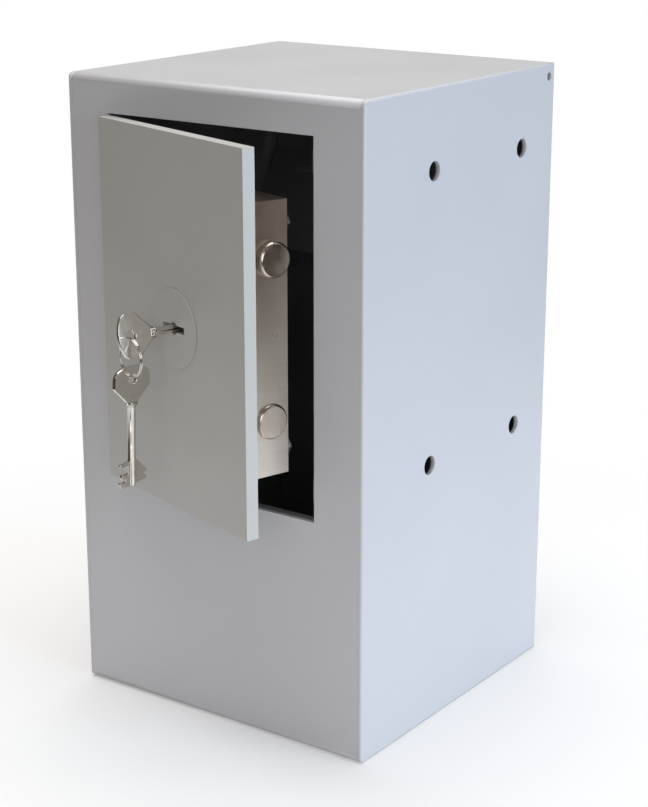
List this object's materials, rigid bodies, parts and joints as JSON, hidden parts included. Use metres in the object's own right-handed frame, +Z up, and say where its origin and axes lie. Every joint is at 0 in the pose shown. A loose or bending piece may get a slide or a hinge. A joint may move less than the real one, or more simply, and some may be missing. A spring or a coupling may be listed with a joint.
{
  "type": "donation box",
  "caption": "Locking steel donation box with an inset hinged door, key-driven round bolts, a deposit slot in the back and fixing holes in one side.",
  "frame": {"origin": "middle of the body's base, on the surface it stands on", "axes": "+X to the right-hand side with the fixing holes, -Y out of the door, +Z up"},
  "size_m": [0.218, 0.2849, 0.4],
  "materials": {
    "body_paint": "satin light grey powder coat with a fine texture",
    "door_paint": "satin grey powder coat",
    "inner_paint": "matt black paint",
    "lock_steel": "brushed sheet steel",
    "bolt_steel": "turned steel",
    "bright_steel": "zinc-plated steel",
    "lever_brass": "stamped brass",
    "key_nickel": "polished nickel plate"
  },
  "bodies": {
    "housing": {"body_wrap": "body_paint", "side_plate_left": "body_paint", "side_plate_right": "body_paint", "sill_strip": "body_paint", "head_strip": "body_paint", "keeper_plate": "inner_paint", "door_stops": "inner_paint", "chute_plate": "inner_paint", "slot_hood": "inner_paint", "hinge_bracket_upper": "inner_paint", "hinge_bracket_lower": "inner_paint", "hinge_pin_upper": "bright_steel", "hinge_pin_lower": "bright_steel"},
    "door": {"door_leaf": "door_paint", "escutcheon": "door_paint", "swan_arm_upper": "inner_paint", "swan_arm_lower": "inner_paint", "hinge_screws": "bright_steel", "lock_base_plate": "lock_steel", "lock_cover": "lock_steel", "cover_studs": "bright_steel", "cover_nuts": "bright_steel", "guide_posts": "lock_steel", "guide_rods": "bright_steel", "lever_post": "bright_steel"},
    "bolt_work": {"bolt_upper": "bolt_steel", "bolt_lower": "bolt_steel", "bolt_carrier": "lock_steel"},
    "levers": {"lever_pack": "lever_brass", "lever_springs": "bright_steel"},
    "key_drive": {"key": "key_nickel", "drive_crank": "lock_steel"},
    "ring": {"key_ring": "key_nickel"},
    "spare": {"spare_key": "key_nickel"}
  },
  "joints": [
    {"name": "door_hinge", "type": "hinge", "parent": "housing", "child": "door", "pos_m": [-0.099, -0.0985, 0.263], "axis": [0, 0, -1], "range_deg": [-17, 73]},
    {"name": "key_turn", "type": "hinge", "parent": "door", "child": "key_drive", "pos_m": [-0.00241, -0.12803, 0.2615], "axis": [-0.2924, -0.9563, 0], "range_deg": [0, 76]},
    {"name": "bolt_throw", "type": "slide", "parent": "door", "child": "bolt_work", "axis": [0.9563, -0.2924, 0], "range_m": [0, 0.022]},
    {"name": "lever_lift", "type": "hinge", "parent": "door", "child": "levers", "pos_m": [-0.00241, -0.12803, 0.2975], "axis": [0.2924, 0.9563, 0], "range_deg": [-3, 3], "stiffness_Nm_per_rad": 0.05},
    {"name": "ring_swing", "type": "hinge", "parent": "key_drive", "child": "ring", "pos_m": [-0.01364, -0.16475, 0.2601], "axis": [0.9563, -0.2924, 0], "range_deg": [-40, 6]},
    {"name": "spare_slide", "type": "hinge", "parent": "ring", "child": "spare", "pos_m": [-0.01364, -0.16475, 0.2487], "axis": [0.2924, 0.9563, 0], "range_deg": [-45, 45]}
  ],
  "couplings": [
    {"joint": "key_turn", "follows": "bolt_throw", "rad_per_m": 60.29}
  ]
}
